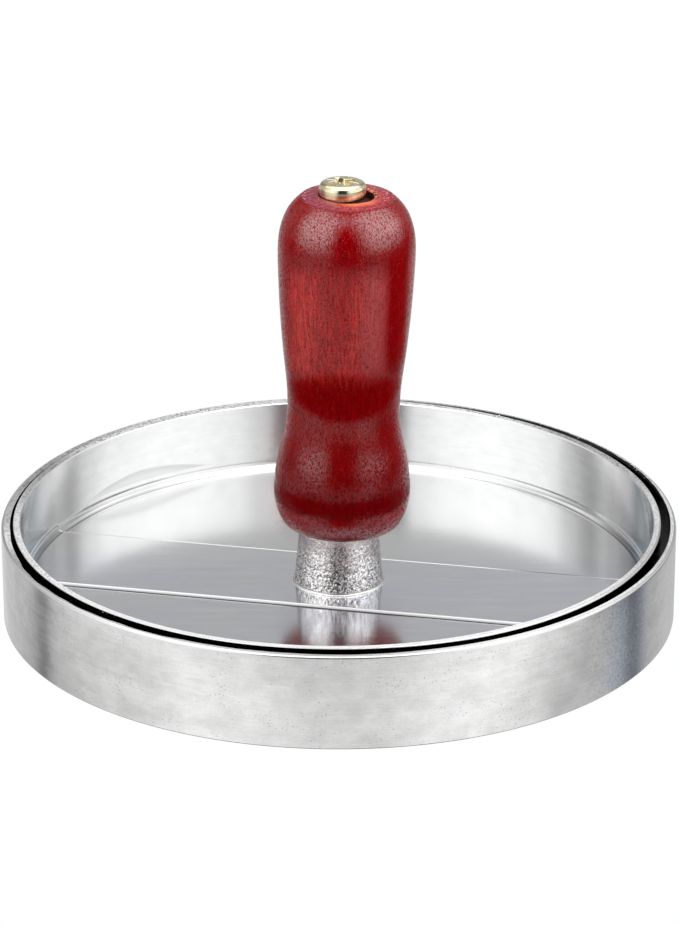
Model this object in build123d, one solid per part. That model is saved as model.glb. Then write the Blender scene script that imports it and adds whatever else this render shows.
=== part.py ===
from build123d import *
import os
import math

# Round hand press for minced-meat patties: an open mould ring, a cup-shaped
# cast press plate that drops into it, and a turned wooden grip held on the
# plate's central boss by one long machine screw.
# Millimetres, +Z up. Origin: centre of the ring on the surface it stands on.

# ---------------------------------------------------------------- dimensions
# mould ring
ring_outer_d = 120.0
ring_bore_d = 117.3
ring_bore_shift_x = 0.25      # the wall is a little thinner on the +X side
ring_height = 16.9
ring_top_outer_round = 0.45
ring_top_inner_round = 0.20
ring_bottom_bevel = 0.20

# press plate, one casting: floor, wall, raised band and boss
plate_centre_x = -0.30        # it lies a little to the -X side of the ring
plate_outer_d = 115.2
plate_wall = 1.40
plate_height = 17.35
plate_floor_top = 4.55        # upper face of the floor beside the band
plate_bottom_round = 0.80
plate_rim_outer_bevel = 0.25
plate_rim_inner_bevel = 0.22
plate_cove_r = 1.50           # inside corner between floor and wall
band_top = 5.00               # upper face of the raised band
band_width = 22.6
band_shift = -0.75            # band centre line, towards the front
band_turn_deg = -12.3         # band direction, turned about Z from +X
band_side_run = 0.50          # sideways run of each sloping band side

# boss in the middle of the plate
boss_x = 0.0
boss_foot_r = 7.88
boss_top_r = 6.92
boss_top_z = 16.20
boss_foot_cove = 0.50
boss_top_bevel = 0.30
tapped_r = 2.00
tapped_bottom_z = 6.00

# grip screw, M4 x 70 pan head with a cross recess
screw_x = 0.68
screw_r = 1.99
head_r = 4.08
head_h = 3.10
head_side_h = 1.95            # straight part of the head, from its underside
head_crown_r = 3.10           # shallow spherical crown
head_crown_h = 0.20
head_under_z = 76.78
screw_len = 70.0
recess_span = 4.90
recess_wing = 1.15
recess_depth = 1.70
recess_turn_deg = 24.0

# turned wooden grip; its bore is drilled a little out of line, so it leans
grip_axis_x = 0.43            # where the grip's own axis meets z = 15
grip_axis_z = 15.0
grip_lean_deg = 1.06          # towards +X
grip_base_z = 16.22
grip_bore_r = 2.10
grip_seat_r = 4.60            # counterbore round the head
grip_seat_depth = 1.60
grip_lip = 0.45               # worn bevel round the counterbore
grip_press_r = 4.22           # the head has pressed its own seat to one side
grip_crown_z = 77.36          # height of the end face at the counterbore
# radius and height along the grip's axis
grip_profile = [
    (10.20, 16.60), (10.79, 17.40), (11.27, 18.40), (11.70, 19.60),
    (11.99, 21.00), (12.10, 22.80), (11.95, 25.50), (11.40, 29.00),
    (10.50, 33.00), (9.96, 37.50), (10.12, 42.50), (10.75, 48.00),
    (11.29, 53.50), (11.69, 59.00), (11.94, 64.00), (12.01, 68.00),
    (11.79, 70.50), (11.28, 72.50), (10.56, 74.20), (9.52, 75.65),
]
grip_end_face_r = 8.20
grip_end_face_z = 76.88

os.makedirs("parts", exist_ok=True)


# ------------------------------------------------------------------- ring
ring = Pos(0, 0, ring_height / 2) * Cylinder(ring_outer_d / 2, ring_height)
ring = fillet(ring.edges().sort_by(Axis.Z)[-1], ring_top_outer_round)
ring = chamfer(ring.edges().sort_by(Axis.Z)[0], ring_bottom_bevel)
ring = ring - Pos(ring_bore_shift_x, 0, ring_height / 2) * Cylinder(
    ring_bore_d / 2, ring_height + 2
)


def bore_edges(solid, low, high):
    return [
        e for e in solid.edges().filter_by(GeomType.CIRCLE)
        if abs(e.radius - ring_bore_d / 2) < 1e-3 and low < e.center().Z < high
    ]


ring = fillet(bore_edges(ring, ring_height - 1, ring_height + 1), ring_top_inner_round)
ring = chamfer(bore_edges(ring, -1, 1), ring_bottom_bevel)


# ------------------------------------------------------------- press plate
plate_r = plate_outer_d / 2
cup_r = plate_r - plate_wall


def cup_hollow(floor_z):
    """The cup's inside above one floor level, with its rounded corner."""
    with BuildPart() as hollow:
        with BuildSketch(Plane.XZ):
            with BuildLine():
                Polyline((0, floor_z), (cup_r - plate_cove_r, floor_z))
                RadiusArc(
                    (cup_r - plate_cove_r, floor_z),
                    (cup_r, floor_z + plate_cove_r),
                    -plate_cove_r,
                )
                Polyline(
                    (cup_r, floor_z + plate_cove_r),
                    (cup_r, plate_height - plate_rim_inner_bevel),
                    (cup_r + plate_rim_inner_bevel + 1.0, plate_height + 1.0),
                    (0, plate_height + 1.0),
                    (0, floor_z),
                )
            make_face()
        revolve(axis=Axis.Z)
    return hollow.part


with BuildPart() as blank:
    with BuildSketch(Plane.XZ):
        with BuildLine():
            Polyline((0, 0), (plate_r - plate_bottom_round, 0))
            RadiusArc(
                (plate_r - plate_bottom_round, 0),
                (plate_r, plate_bottom_round),
                -plate_bottom_round,
            )
            Polyline(
                (plate_r, plate_bottom_round),
                (plate_r, plate_height - plate_rim_outer_bevel),
                (plate_r - plate_rim_outer_bevel, plate_height),
                (0, plate_height),
                (0, 0),
            )
        make_face()
    revolve(axis=Axis.Z)

# the slab that holds the raised band, wider at its foot than at its top
half = band_width / 2
rise = band_top - plate_floor_top
with BuildPart() as slab:
    with BuildSketch(Plane.YZ):
        with BuildLine():
            Polyline(
                (-half - band_side_run, plate_floor_top - 0.6 * rise),
                (-half - band_side_run, plate_floor_top),
                (-half, band_top),
                (-half, plate_height + 2),
                (half, plate_height + 2),
                (half, band_top),
                (half + band_side_run, plate_floor_top),
                (half + band_side_run, plate_floor_top - 0.6 * rise),
                (-half - band_side_run, plate_floor_top - 0.6 * rise),
            )
        make_face()
    extrude(amount=70, both=True)
slab_solid = Rot(0, 0, band_turn_deg) * Pos(0, band_shift, 0) * slab.part

low_hollow = cup_hollow(plate_floor_top) - slab_solid
band_hollow = cup_hollow(band_top) & slab_solid
plate = blank.part - low_hollow - band_hollow
plate = Pos(plate_centre_x, 0, 0) * plate

# boss: a tapered stub with a rounded foot, tapped blind from the top
with BuildPart() as boss:
    with BuildSketch(Plane.XZ):
        foot_z = band_top
        with BuildLine():
            Polyline(
                (0, foot_z - 1.5),
                (boss_foot_r + boss_foot_cove, foot_z - 1.5),
                (boss_foot_r + boss_foot_cove, foot_z),
            )
            RadiusArc(
                (boss_foot_r + boss_foot_cove, foot_z),
                (boss_foot_r, foot_z + boss_foot_cove),
                boss_foot_cove,
            )
            Polyline(
                (boss_foot_r, foot_z + boss_foot_cove),
                (boss_top_r, boss_top_z - boss_top_bevel),
                (boss_top_r - boss_top_bevel, boss_top_z),
                (0, boss_top_z),
                (0, foot_z - 1.5),
            )
        make_face()
    revolve(axis=Axis.Z)
plate = plate + Pos(boss_x, 0, 0) * boss.part

with BuildPart() as drill:
    with BuildSketch(Plane.XZ):
        with BuildLine():
            Polyline(
                (0, tapped_bottom_z - tapped_r * 0.5),
                (tapped_r, tapped_bottom_z),
                (tapped_r, boss_top_z - 0.25),
                (tapped_r + 0.75, boss_top_z + 0.5),
                (0, boss_top_z + 0.5),
                (0, tapped_bottom_z - tapped_r * 0.5),
            )
        make_face()
    revolve(axis=Axis.Z)
plate = plate - Pos(screw_x, 0, 0) * drill.part


# -------------------------------------------------------------- grip screw
tip_z = head_under_z - screw_len
crown_ball_r = (head_crown_r ** 2 + head_crown_h ** 2) / (2 * head_crown_h)
crown_mid_drop = crown_ball_r - math.sqrt(crown_ball_r ** 2 - (head_crown_r / 2) ** 2)
with BuildPart() as screw:
    with BuildSketch(Plane.XZ):
        with BuildLine():
            Polyline(
                (0, tip_z),
                (screw_r - 0.5, tip_z),
                (screw_r, tip_z + 0.5),
                (screw_r, head_under_z),
                (head_r - 0.35, head_under_z),
            )
            RadiusArc(
                (head_r - 0.35, head_under_z),
                (head_r, head_under_z + 0.35),
                -0.35,
            )
            Polyline(
                (head_r, head_under_z + 0.35),
                (head_r, head_under_z + head_side_h),
            )
            ThreePointArc(
                (head_r, head_under_z + head_side_h),
                (head_r - 0.29, head_under_z + head_side_h + 0.66),
                (head_crown_r, head_under_z + head_h - head_crown_h),
            )
            ThreePointArc(
                (head_crown_r, head_under_z + head_h - head_crown_h),
                (head_crown_r / 2, head_under_z + head_h - crown_mid_drop),
                (0, head_under_z + head_h),
            )
            Polyline((0, head_under_z + head_h), (0, tip_z))
        make_face()
    revolve(axis=Axis.Z)

top_z = head_under_z + head_h
with BuildPart() as recess:
    with BuildSketch(Plane.XY.offset(top_z + 0.02)):
        Rectangle(recess_span, recess_wing)
        Rectangle(recess_wing, recess_span)
        Circle(recess_wing * 0.95)
    extrude(amount=-recess_depth, taper=9)
ticks = []
for k in range(4):
    tick = Pos(0, 0, top_z - 0.10) * Rot(0, 0, 45 + 90 * k) * Pos(
        2.05, 0, 0
    ) * Box(1.9, 0.22, 0.30)
    ticks.append(tick)
screw_solid = screw.part - Rot(0, 0, recess_turn_deg) * recess.part
for tick in ticks:
    screw_solid = screw_solid - Rot(0, 0, recess_turn_deg) * tick
screw_solid = Pos(screw_x, 0, 0) * screw_solid


# -------------------------------------------------------------------- grip
# modelled about its own axis, with heights counted from grip_axis_z
def up(z):
    return z - grip_axis_z


low_z = 15.2
with BuildPart() as grip:
    with BuildSketch(Plane.XZ):
        pts = [(r, up(z)) for r, z in grip_profile]
        with BuildLine():
            Polyline((0, up(low_z)), (8.2, up(low_z)), (8.7, up(15.80)))
            Spline(
                [(8.7, up(15.80))] + pts + [(grip_end_face_r, up(grip_end_face_z))],
                tangents=((1.0, 0.30), (-1.0, 0.75)),
                tangent_scalars=(1.0, 1.0),
            )
            ThreePointArc(
                (grip_end_face_r, up(grip_end_face_z)),
                (6.7, up(grip_crown_z - 0.16)),
                (grip_seat_r + grip_lip, up(grip_crown_z)),
            )
            Polyline(
                (grip_seat_r + grip_lip, up(grip_crown_z)),
                (grip_seat_r, up(grip_crown_z - 0.6 * grip_lip)),
                (grip_seat_r, up(grip_crown_z - grip_seat_depth)),
                (0, up(grip_crown_z - grip_seat_depth) - grip_seat_r * 0.35),
                (0, up(low_z)),
            )
        make_face()
    revolve(axis=Axis.Z)
grip_solid = Pos(grip_axis_x, 0, grip_axis_z) * Rot(0, grip_lean_deg, 0) * grip.part
# square base where it meets the boss, and the bore for the screw
grip_solid = grip_solid - Pos(0, 0, grip_base_z - 5) * Box(60, 60, 10)
grip_solid = grip_solid - Pos(screw_x, 0, 45) * Cylinder(grip_bore_r, 80)
# seat that the head has pressed into the edge of the counterbore
grip_solid = grip_solid - Pos(screw_x, 0, head_under_z - 0.02 + 2) * Cylinder(
    grip_press_r, 4
)


export_step(ring, "parts/mould_ring.step")
export_step(plate, "parts/press_plate.step")
export_step(screw_solid, "parts/grip_screw.step")
export_step(grip_solid, "parts/wooden_grip.step")

for name, s in (
    ("mould_ring", ring), ("press_plate", plate),
    ("grip_screw", screw_solid), ("wooden_grip", grip_solid),
):
    bb = s.bounding_box()
    print(name, len(s.solids()), round(s.volume, 1),
          [round(v, 3) for v in (bb.min.X, bb.min.Y, bb.min.Z, bb.max.X, bb.max.Y, bb.max.Z)])
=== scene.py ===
import bpy
import math
import random
import numpy as np
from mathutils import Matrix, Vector

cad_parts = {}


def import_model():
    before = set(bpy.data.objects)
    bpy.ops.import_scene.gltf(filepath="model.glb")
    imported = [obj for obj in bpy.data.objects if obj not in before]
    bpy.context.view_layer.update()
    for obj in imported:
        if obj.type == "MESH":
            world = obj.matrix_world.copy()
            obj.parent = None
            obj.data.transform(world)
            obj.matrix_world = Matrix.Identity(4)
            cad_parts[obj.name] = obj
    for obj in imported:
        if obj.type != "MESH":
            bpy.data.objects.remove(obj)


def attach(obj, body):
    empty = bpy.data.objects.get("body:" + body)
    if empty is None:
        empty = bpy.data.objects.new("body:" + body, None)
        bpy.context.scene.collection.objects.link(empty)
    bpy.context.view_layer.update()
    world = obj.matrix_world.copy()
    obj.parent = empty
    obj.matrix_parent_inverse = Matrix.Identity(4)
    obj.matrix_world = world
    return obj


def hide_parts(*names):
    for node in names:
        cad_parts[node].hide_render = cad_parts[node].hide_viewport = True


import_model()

random.seed(7)
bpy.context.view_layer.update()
scene = bpy.context.scene
scene.view_settings.view_transform = "Standard"

MM = 0.001

# ------------------------------------------------------------ camera
CAM_F = 4196.8                    # focal length, pixels of a 926-pixel long side
PITCH = 21.92
cam_data = bpy.data.cameras.new("camera")
cam_data.sensor_width = 36.0
cam_data.lens = CAM_F * 36.0 / 926.0
cam_data.clip_start, cam_data.clip_end = 0.05, 10.0
cam = bpy.data.objects.new("camera", cam_data)
scene.collection.objects.link(cam)
cam.location = (0.000135, -0.6903, 0.3051)
cam.rotation_euler = (math.radians(90 - PITCH), 0, 0)
scene.camera = cam


# ------------------------------------------------------------ shader helper
class Net:
    """Short spelling for node maths; a value is a number or a socket."""

    def __init__(self, tree):
        self.t = tree
        self.n = tree.nodes
        self.l = tree.links

    def new(self, kind, **attrs):
        node = self.n.new(kind)
        for k, v in attrs.items():
            setattr(node, k, v)
        return node

    def put(self, sock, v):
        if v is None:
            return
        if isinstance(v, bpy.types.NodeSocket):
            self.l.new(v, sock)
        else:
            sock.default_value = v

    def m(self, op, a, b=None, c=None, clamp=False):
        node = self.new("ShaderNodeMath", operation=op, use_clamp=clamp)
        for i, v in enumerate((a, b, c)):
            self.put(node.inputs[i], v)
        return node.outputs[0]

    def add(self, *v):
        out = v[0]
        for x in v[1:]:
            out = self.m("ADD", out, x)
        return out

    def mul(self, *v):
        out = v[0]
        for x in v[1:]:
            out = self.m("MULTIPLY", out, x)
        return out

    def sub(self, a, b):
        return self.m("SUBTRACT", a, b)

    def ss(self, x, lo, hi, a=0.0, b=1.0):
        node = self.new("ShaderNodeMapRange", interpolation_type="SMOOTHSTEP")
        for i, v in enumerate((x, lo, hi, a, b)):
            self.put(node.inputs[i], v)
        return node.outputs[0]

    def lin(self, x, lo, hi, a=0.0, b=1.0):
        node = self.new("ShaderNodeMapRange")
        for i, v in enumerate((x, lo, hi, a, b)):
            self.put(node.inputs[i], v)
        return node.outputs[0]

    def win(self, x, lo, hi, w):
        """1 between lo and hi, with soft edges of half width w."""
        return self.mul(self.ss(x, lo - w, lo + w), self.ss(x, hi - w, hi + w, 1.0, 0.0))

    def table(self, x, lo, hi, points, ease=True):
        """A curve through (x, value) points, values up to the largest scaled to 1."""
        top = max(v for _, v in points) or 1.0
        ramp = self.new("ShaderNodeValToRGB")
        ramp.color_ramp.interpolation = "EASE" if ease else "LINEAR"
        els = ramp.color_ramp.elements
        for i, (px, v) in enumerate(points):
            pos = (px - lo) / (hi - lo)
            e = els[i] if i < 2 else els.new(pos)
            e.position = pos
            k = v / top
            e.color = (k, k, k, 1)
        self.put(ramp.inputs[0], self.lin(x, lo, hi))
        return self.mul(ramp.outputs[0], top)

    def vec(self, x, y, z):
        node = self.new("ShaderNodeCombineXYZ")
        for i, v in enumerate((x, y, z)):
            self.put(node.inputs[i], v)
        return node.outputs[0]

    def split(self, v):
        node = self.new("ShaderNodeSeparateXYZ")
        self.put(node.inputs[0], v)
        return node.outputs[0], node.outputs[1], node.outputs[2]

    def noise(self, v, scale=1.0, detail=2.0, rough=0.5, dist=0.0):
        node = self.new("ShaderNodeTexNoise")
        self.put(node.inputs["Vector"], v)
        node.inputs["Scale"].default_value = scale
        node.inputs["Detail"].default_value = detail
        node.inputs["Roughness"].default_value = rough
        node.inputs["Distortion"].default_value = dist
        return node.outputs[0]

    def cells(self, v, scale=1.0, feature="F1", out="Distance", rnd=1.0):
        node = self.new("ShaderNodeTexVoronoi", feature=feature)
        self.put(node.inputs["Vector"], v)
        node.inputs["Scale"].default_value = scale
        node.inputs["Randomness"].default_value = rnd
        return node.outputs[out]

    def mix(self, f, a, b):
        """Colour mix; a and b are colours or sockets."""
        node = self.new("ShaderNodeMix", data_type="RGBA")
        self.put(node.inputs[0], f)
        self.put(node.inputs[6], a if isinstance(a, bpy.types.NodeSocket) else tuple(a) + (1.0,))
        self.put(node.inputs[7], b if isinstance(b, bpy.types.NodeSocket) else tuple(b) + (1.0,))
        return node.outputs[2]

    def fmix(self, f, a, b):
        node = self.new("ShaderNodeMix", data_type="FLOAT")
        self.put(node.inputs[0], f)
        self.put(node.inputs[2], a)
        self.put(node.inputs[3], b)
        return node.outputs[0]

    def bump(self, height, distance, strength=1.0, normal=None):
        node = self.new("ShaderNodeBump")
        node.inputs["Strength"].default_value = strength
        node.inputs["Distance"].default_value = distance
        self.put(node.inputs["Height"], height)
        if normal is not None:
            self.put(node.inputs["Normal"], normal)
        return node.outputs[0]


def material(name):
    mat = bpy.data.materials.new(name)
    mat.use_nodes = True
    net = Net(mat.node_tree)
    bsdf = next(n for n in mat.node_tree.nodes if n.type == "BSDF_PRINCIPLED")
    return mat, net, bsdf


def mm_coords(net):
    """Object position in millimetres: vector, x, y, z."""
    tc = net.new("ShaderNodeTexCoord")
    node = net.new("ShaderNodeVectorMath", operation="SCALE")
    net.put(node.inputs[0], tc.outputs["Object"])
    node.inputs["Scale"].default_value = 1000.0
    return (node.outputs[0],) + net.split(node.outputs[0])


# ------------------------------------------------------------ studio
world = bpy.data.worlds.new("studio")
scene.world = world
world.use_nodes = True
w = Net(world.node_tree)
for node in list(w.n):
    w.n.remove(node)
out = w.new("ShaderNodeOutputWorld")
tc = w.new("ShaderNodeTexCoord")
dx, dy, dz = w.split(tc.outputs["Generated"])
# azimuth 0 is the side the object is seen from, +90 is +X; elevation in degrees
az = w.mul(w.m("ARCTAN2", dx, w.mul(dy, -1.0)), 180 / math.pi)
el = w.mul(w.m("ARCSINE", dz), 180 / math.pi)

# radiance by azimuth in three bands: what a downward ray sees, the level of the
# two soft boxes, and overhead
low = w.table(az, -180, 180, [
    (-180, 0.72), (-172, 0.88), (-163, 0.70), (-150, 0.56), (-130, 0.50), (-126, 0.45), (-121.5, 0.05),
    (-118.5, 0.06), (-114, 0.52), (-100, 0.63), (-80, 0.70), (-60, 0.86), (-45, 0.96), (-28, 0.91),
    (-14, 0.80), (0, 0.77), (16, 0.78), (32, 0.90), (50, 0.96), (60, 0.95), (70, 0.74),
    (80, 0.55), (100, 0.46), (111, 0.41), (118.5, 0.06), (122, 0.06), (127, 0.44),
    (150, 0.54), (162, 0.56), (172, 0.58), (180, 0.72),
])
boxes = w.table(az, -180, 180, [
    (-180, 0.42), (-171, 0.41), (-161, 0.26), (-151, 0.17), (-146, 0.26), (-140, 0.45), (-130, 0.55),
    (-120, 0.55), (-111, 0.38), (-106, 0.48), (-100, 0.70), (-90, 0.95), (-80, 1.10), (-60, 1.16),
    (-40, 1.08), (-30, 0.92), (-20, 0.03), (18, 0.03), (29, 0.70), (40, 0.98), (52, 1.10), (75, 1.15),
    (95, 1.06), (110, 0.86), (119, 0.46), (126, 0.57), (140, 0.56), (150, 0.36), (160, 0.24), (170, 0.47),
    (180, 0.42),
])
top_l = w.table(az, -180, 180, [
    (-180, 1.4), (-120, 1.4), (-60, 2.1), (0, 2.8), (60, 2.4), (120, 1.6), (180, 1.4),
])
dark = w.win(az, -24.0, 21.0, 5.0)          # the opening the object is seen through
lum = w.fmix(w.ss(el, -13.0, 9.0), low, boxes)
lum = w.mul(lum, w.sub(1.0, w.mul(dark, w.win(el, 0.0, 70.0, 9.0), 0.95)))
behind = w.ss(w.m("ABSOLUTE", az), 100.0, 135.0)    # the overhead light comes lower at the back
lum = w.fmix(w.fmix(behind, w.ss(el, 48.0, 66.0), w.ss(el, 33.0, 48.0)), lum, top_l)
lum = w.fmix(w.ss(el, 70.0, 80.0), lum, 0.84)       # a calmer patch straight overhead
tint = w.mix(w.ss(el, -5, 10), (1.0, 1.0, 1.0), (0.985, 0.99, 1.0))
studio = w.new("ShaderNodeBackground")
w.put(studio.inputs[0], tint)
w.put(studio.inputs[1], lum)
plain = w.new("ShaderNodeBackground")
plain.inputs[0].default_value = (1, 1, 1, 1)
plain.inputs[1].default_value = 1.0
path = w.new("ShaderNodeLightPath")
pick = w.new("ShaderNodeMixShader")
w.put(pick.inputs[0], path.outputs["Is Camera Ray"])
w.l.new(studio.outputs[0], pick.inputs[1])
w.l.new(plain.outputs[0], pick.inputs[2])
w.l.new(pick.outputs[0], out.inputs[0])


# ------------------------------------------------------------ mesh helpers
def make_object(name, verts, faces, mats, face_mats=None, sharp=35.0):
    me = bpy.data.meshes.new(name)
    me.from_pydata([(x * MM, y * MM, z * MM) for x, y, z in verts], [], faces)
    for mt in mats:
        me.materials.append(mt)
    if face_mats is not None:
        me.polygons.foreach_set("material_index", face_mats)
    me.polygons.foreach_set("use_smooth", [True] * len(me.polygons))
    me.validate()
    me.update()
    me.set_sharp_from_angle(angle=math.radians(sharp))
    ob = bpy.data.objects.new(name, me)
    scene.collection.objects.link(ob)
    return ob


def arc(cx, cz, r, a0, a1, n):
    """Points on an arc in a profile, angles in degrees from +r towards +z."""
    return [
        (cx + r * math.cos(math.radians(a0 + (a1 - a0) * i / n)),
         cz + r * math.sin(math.radians(a0 + (a1 - a0) * i / n)))
        for i in range(n + 1)
    ]


class Rows:
    """A surface made of rows that all have the same number of columns."""

    def __init__(self):
        self.v, self.f, self.fm = [], [], []

    def row(self, pts):
        start = len(self.v)
        self.v += [tuple(p) for p in pts]
        return list(range(start, start + len(pts)))

    def join(self, a, b, mat=0, wrap=True):
        n = len(a)
        for i in range(n if wrap else n - 1):
            j = (i + 1) % n
            self.f.append((a[i], a[j], b[j], b[i]))
            self.fm.append(mat)

    def fan(self, a, c, mat=0, flip=False):
        n = len(a)
        for i in range(n):
            j = (i + 1) % n
            self.f.append((a[j], a[i], c) if flip else (a[i], a[j], c))
            self.fm.append(mat)


# ============================================================ materials
def metal(name, base, rough, aniso=0.0, turn=0.0):
    mat, net, b = material(name)
    b.inputs["Metallic"].default_value = 1.0
    b.inputs["Base Color"].default_value = tuple(base) + (1.0,)
    b.inputs["Roughness"].default_value = rough
    if aniso:
        b.inputs["Anisotropic"].default_value = aniso
        b.inputs["Anisotropic Rotation"].default_value = turn
        tg = net.new("ShaderNodeTangent", direction_type="RADIAL", axis="Z")
        net.l.new(tg.outputs[0], b.inputs["Tangent"])
    return mat, net, b


# turned outer wall of the ring
ring_wall, n, b = metal("ring_wall", (0.91, 0.91, 0.905), 0.22, 0.8, 0.25)
p, x, y, z = mm_coords(n)
streak = n.noise(n.vec(n.mul(x, 0.03), n.mul(y, 0.03), n.mul(z, 1.6)), 1.0, 6.0, 0.65)
cloud = n.noise(n.vec(n.mul(x, 0.09), n.mul(y, 0.09), n.mul(z, 0.16)), 1.0, 3.0, 0.55)
fine = n.noise(n.vec(n.mul(x, 0.5), n.mul(y, 0.5), n.mul(z, 9.0)), 1.0, 3.0, 0.6)
blotch = n.noise(n.vec(n.mul(x, 0.22), n.mul(y, 0.22), n.mul(z, 0.30)), 1.0, 4.0, 0.6)
phi_ = n.mul(n.m("ARCTAN2", x, n.mul(y, -1.0)), 180 / math.pi)
tone = n.add(n.mul(n.sub(cloud, 0.5), 0.9), n.mul(n.sub(streak, 0.5), 0.5), n.mul(n.sub(fine, 0.5), 0.6),
             n.mul(n.sub(blotch, 0.5), n.ss(phi_, 60.0, 72.0, 1.15, 0.45)))
wall_c = n.mix(n.ss(n.add(0.5, tone), 0.0, 1.0), (0.74, 0.74, 0.735), (1.0, 1.0, 0.995))
wall_c = n.mix(n.mul(n.win(phi_, 50.5, 62.0, 3.5), n.ss(blotch, 0.35, 0.60, 0.7, 1.0)), wall_c, (0.76, 0.85, 1.0))
sand = n.noise(n.vec(n.mul(x, 2.1), n.mul(y, 2.1), n.mul(z, 2.3)), 1.0, 2.0, 0.6)
wall_c = n.mix(n.mul(n.ss(sand, 0.44, 0.36), n.win(phi_, 46.0, 62.0, 6.0), 0.36), wall_c, (0.50, 0.53, 0.58))
wall_c = n.mix(n.mul(n.ss(sand, 0.55, 0.62), n.win(phi_, 46.0, 61.0, 6.0), 0.85), wall_c, (1.0, 1.0, 1.0))
wall_c = n.mix(n.mul(n.ss(sand, 0.46, 0.38), 0.10), wall_c, (0.55, 0.55, 0.55))
# small dark nicks and specks of dirt
nick = n.cells(n.vec(n.mul(x, 1.2), n.mul(y, 1.2), n.mul(z, 1.7)), 1.0, out="Distance")
some = n.noise(n.vec(n.mul(x, 0.12), n.mul(y, 0.12), n.mul(z, 0.2)), 1.0, 2.0, 0.5)
n.put(b.inputs["Base Color"], n.mix(n.mul(n.ss(nick, 0.10, 0.22, 1.0, 0.0), n.ss(some, 0.46, 0.60), 0.65), wall_c, (0.30, 0.30, 0.30)))
n.put(b.inputs["Roughness"], n.add(0.22, n.mul(n.sub(streak, 0.5), 0.08), n.mul(n.sub(cloud, 0.5), 0.08)))
n.put(b.inputs["Normal"], n.bump(n.add(streak, n.mul(fine, 0.3), n.mul(blotch, 0.5)), 0.00004, 0.35))

# lower edge of the ring, darkened as a painted contact shadow
foot_edge, n, b = metal("foot_edge", (0.22, 0.22, 0.225), 0.50)

# rim faces: rough, worn down a little towards the outside, and darker at some angles than at others
def cast_rim(name, dim_by_angle):
    mat, n, b = metal(name, (0.80, 0.80, 0.80), 0.36)
    b.inputs["Metallic"].default_value = 0.10
    p, x, y, z = mm_coords(n)
    phi_ = n.mul(n.m("ARCTAN2", x, n.mul(y, -1.0)), 180 / math.pi)
    grit = n.noise(p, 4.2, 3.0, 0.7)
    coarse = n.noise(p, 1.3, 3.0, 0.6)
    pale = n.mix(n.ss(n.add(n.mul(grit, 0.65), n.mul(coarse, 0.35)), 0.36, 0.58), (0.80, 0.80, 0.80), (1.0, 1.0, 0.985))
    # darker at some angles, as the table passed in gives
    pale = n.mix(n.table(phi_, -180, 180, dim_by_angle), (0.0, 0.0, 0.0), pale)
    pepper = n.noise(p, 2.4, 2.0, 0.6)
    sides = n.table(n.m("ABSOLUTE", phi_), 0, 180, [(0, 0.03), (45, 0.08), (62, 0.42), (95, 0.50), (112, 0.85), (150, 0.80), (180, 0.4)])
    pale = n.mix(n.mul(n.ss(pepper, 0.50, 0.60), sides), pale, (0.12, 0.12, 0.12))
    n.put(b.inputs["Base Color"], pale)
    tilt = n.new("ShaderNodeVectorMath", operation="NORMALIZE")
    n.put(tilt.inputs[0], n.vec(n.mul(x, 0.27 / 58.0), n.mul(y, 0.27 / 58.0), 1.0))
    n.put(b.inputs["Normal"], n.bump(n.add(grit, n.mul(pepper, 0.6)), 0.00012, 0.45, tilt.outputs[0]))
    return mat


rim = cast_rim("plate_rim", [
    (-180, 1.0), (-130, 1.0), (-112, 0.46), (-100, 0.60), (-90, 0.92), (-80, 1.0), (-60, 1.0), (-48, 1.0), (48, 1.0),
    (60, 0.90), (70, 0.66), (80, 0.84), (92, 0.90), (110, 0.62), (130, 0.50), (150, 1.0), (180, 1.0)])
rim_ring = cast_rim("ring_rim", [
    (-180, 0.9), (-150, 1.0), (-130, 0.62), (-110, 0.42), (-90, 0.62), (-80, 1.0), (-70, 0.46), (-60, 0.46),
    (-50, 0.56), (-30, 0.62), (-20, 0.66), (0, 0.52), (10, 0.68), (20, 0.88), (30, 1.0), (50, 1.0),
    (60, 1.0), (70, 0.76), (90, 0.90), (110, 0.80), (130, 0.60), (150, 0.60), (180, 0.7)])

# broken and rounded rim edges, burnished
edge, n, b = metal("rim_edge", (0.97, 0.97, 0.96), 0.26)

# edges of the raised band
step_edge, n, b = metal("step_edge", (0.97, 0.97, 0.97), 0.38)
p, x, y, z = mm_coords(n)
# painted shadow darkens the foot of the step, less so at the left end of the rear edge; painted shade dims the rear
# edge towards its two ends
foot_shadow = n.table(z, 4.5, 5.1, [(4.50, 0.05), (4.575, 0.06), (4.60, 0.16), (4.66, 0.34), (4.80, 0.52), (4.93, 0.72), (4.975, 0.95), (5.1, 0.97)])
ends = n.fmix(n.ss(y, -2.0, 2.0), 1.0, n.table(x, -60, 60, [(-60, 0.82), (-40, 0.80), (-30, 1.0), (24, 1.0), (37, 0.16), (60, 0.14)]))
less_shadow = n.mul(n.ss(y, -2.0, 2.0), n.ss(x, -40.0, -33.0, 0.9, 0.0))
n.put(b.inputs["Base Color"], n.mix(n.mul(n.fmix(less_shadow, foot_shadow, 0.80), ends), (0.0, 0.0, 0.0), (0.97, 0.97, 0.965)))

# walls inside the gap between ring and plate, smooth and dull; painted shade makes them dark grey, darker on the right,
# and darkest at the very top
gap_wall, n, b = metal("gap_wall", (0.40, 0.40, 0.40), 0.10)
p, x, y, z = mm_coords(n)
streak = n.noise(n.vec(n.mul(x, 0.03), n.mul(y, 0.03), n.mul(z, 1.2)), 1.0, 5.0, 0.6)
far_out = n.ss(n.m("SQRT", n.add(n.mul(x, x), n.mul(y, y))), 57.95, 58.1)
# painted shadow at the very top of both walls, reaching a little lower on the ring's bore
top_shadow = n.m("MAXIMUM", n.ss(z, 16.62, 16.75), n.mul(far_out, n.ss(z, 15.9, 16.1)))
phi_ = n.mul(n.m("ARCTAN2", x, n.mul(y, -1.0)), 180 / math.pi)
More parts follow.
